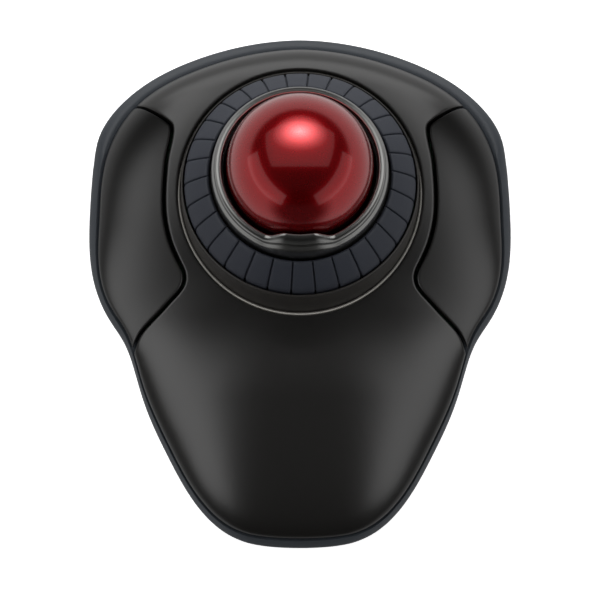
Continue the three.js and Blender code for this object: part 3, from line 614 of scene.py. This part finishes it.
def area(name, loc, target, sx, sy, L, only=None, ellipse=False):
    """Area light of a given radiance; only = the pieces it lights."""
    d = bpy.data.lights.new(name, "AREA")
    d.shape = "ELLIPSE" if ellipse else "RECTANGLE"
    d.size, d.size_y = sx * FIT, sy * FIT
    d.energy = L * math.pi * d.size * d.size_y * (math.pi / 4 if ellipse else 1)
    o = bpy.data.objects.new(name, d)
    o.location = Vector(loc) * FIT
    o.rotation_euler = (Vector(target) - Vector(loc)).to_track_quat("-Z", "Y").to_euler()
    bpy.context.scene.collection.objects.link(o)
    if only:
        c = bpy.data.collections.new(name + "_lights")
        for k in only:
            c.objects.link(k)
        o.light_linking.receiver_collection = c
    return o


def away(az, el, r, c=(0, 0.02525, 0.045)):
    """Point at distance r from c; az from straight back, clockwise from above; el above the desk."""
    a, e = math.radians(az), math.radians(el)
    return Vector(c) + r * Vector((math.sin(a) * math.cos(e), math.cos(a) * math.cos(e), math.sin(e)))


w = bpy.data.worlds.new("studio")
bpy.context.scene.world = w
w.use_nodes = True
wt = w.node_tree
bg = wt.nodes["Background"]
tc = wt.nodes.new("ShaderNodeTexCoord")
sep = wt.nodes.new("ShaderNodeSeparateXYZ")
wt.links.new(tc.outputs["Generated"], sep.inputs[0])


def step_node(src, lo, hi, v0, v1):
    n = wt.nodes.new("ShaderNodeMapRange")
    n.interpolation_type = "SMOOTHSTEP"
    for k, val in (("From Min", lo), ("From Max", hi), ("To Min", v0), ("To Max", v1)):
        n.inputs[k].default_value = val
    wt.links.new(src, n.inputs["Value"])
    return n.outputs["Result"]


low = step_node(sep.outputs["Z"], 0.06, 0.24, WORLD_LOW, WORLD_HIGH)  # pale sweep round the foot of the set, dim above
front = step_node(sep.outputs["Y"], -0.93, -0.70, 0.08, 1.0)
mul = wt.nodes.new("ShaderNodeMath")
mul.operation = "MULTIPLY"
wt.links.new(low, mul.inputs[0])
wt.links.new(front, mul.inputs[1])
lp = wt.nodes.new("ShaderNodeLightPath")
mx = wt.nodes.new("ShaderNodeMix")
mx.data_type = "FLOAT"
wt.links.new(lp.outputs["Is Camera Ray"], mx.inputs[0])
wt.links.new(mul.outputs[0], mx.inputs[2])
mx.inputs[3].default_value = 0.9
wt.links.new(mx.outputs[0], bg.inputs[1])
bg.inputs[0].default_value = (1, 1, 1, 1)

BALL = Vector((0, 0.02525, 0.045))
ball_only = [pieces["trackball"]]
# soft overhead box that the ball mirrors, with a brighter middle
area("key_top", BALL + Vector((0, 0.30, 0.95)) * 0.42, BALL, 1.0, 0.62, KEY, ball_only)
for i, (sz, L) in enumerate(((0.04, 2.2), (0.08, 2.0), (0.12, 1.7), (0.16, 1.4), (0.20, 1.1), (0.25, 0.9), (0.30, 0.7), (0.36, 0.5), (0.42, 0.35))):
    area("key_core_%d" % i, BALL + Vector((0, 0.585, 0.811)) * (0.40 - 0.004 * i), BALL, sz * 1.3, sz, L, ball_only, True)
# upright boxes left and right of the user, for the two crescents on the ball
area("strip_left", away(-118, 17, 0.6), BALL, 0.95, 0.26, STRIP, ball_only)
area("strip_right", away(118, 17, 0.6), BALL, 0.95, 0.26, STRIP * 0.85, ball_only)
# long boxes over either side, for the bands of light along the palm rest and the buttons
collar = pieces["ball_collar"]
rest = [o for o in bpy.context.scene.objects if o.type == "MESH" and o not in (pieces["trackball"], pieces["left_button"], pieces["right_button"], collar)]
buttons = [pieces["left_button"], pieces["right_button"]]
area("side_left", (-0.46, 0.10, 0.60), (-0.04, 0.04, 0.02), 1.2, 0.42, SIDE_L, rest)
area("side_right", (0.46, 0.10, 0.60), (0.04, 0.04, 0.02), 1.2, 0.42, SIDE_R, rest)
area("button_left", (-0.52, -0.16, 0.56), (-0.05, 0.0, 0.02), 0.62, 0.5, SIDE_L, buttons)
area("button_right", (0.52, -0.16, 0.56), (0.05, 0.0, 0.02), 0.62, 0.5, SIDE_R, buttons)
area("back_low", (0, 0.80, 0.34), (0, 0.03, 0.02), 1.3, 0.5, BACK, rest)
area("collar_left", BALL + Vector((-0.62, 0.34, 0.71)) * 0.5, BALL, 0.42, 0.42, 1.25, [collar])
area("collar_right", BALL + Vector((0.62, 0.34, 0.71)) * 0.5, BALL, 0.42, 0.42, 1.25, [collar])
area("foot_line", (0, -0.5, 0.3), BALL, 0.9, 0.5, 4.0, [bead_ring])

EL, D, F = math.radians(73.17), 0.8 * FIT, 2753.0
T = Vector((0, -0.0088, 0.025)) * FIT
fwd = Vector((0, math.cos(EL), -math.sin(EL)))
cd = bpy.data.cameras.new("camera")
cd.sensor_width = 36
cd.lens = F * 36 / 600
cam = bpy.data.objects.new("camera", cd)
cam.location = T - fwd * D
cam.rotation_euler = fwd.to_track_quat("-Z", "Y").to_euler()
cd.clip_start, cd.clip_end = 0.01, 50
bpy.context.scene.collection.objects.link(cam)
bpy.context.scene.camera = cam
bpy.context.scene.view_settings.view_transform = "Standard"
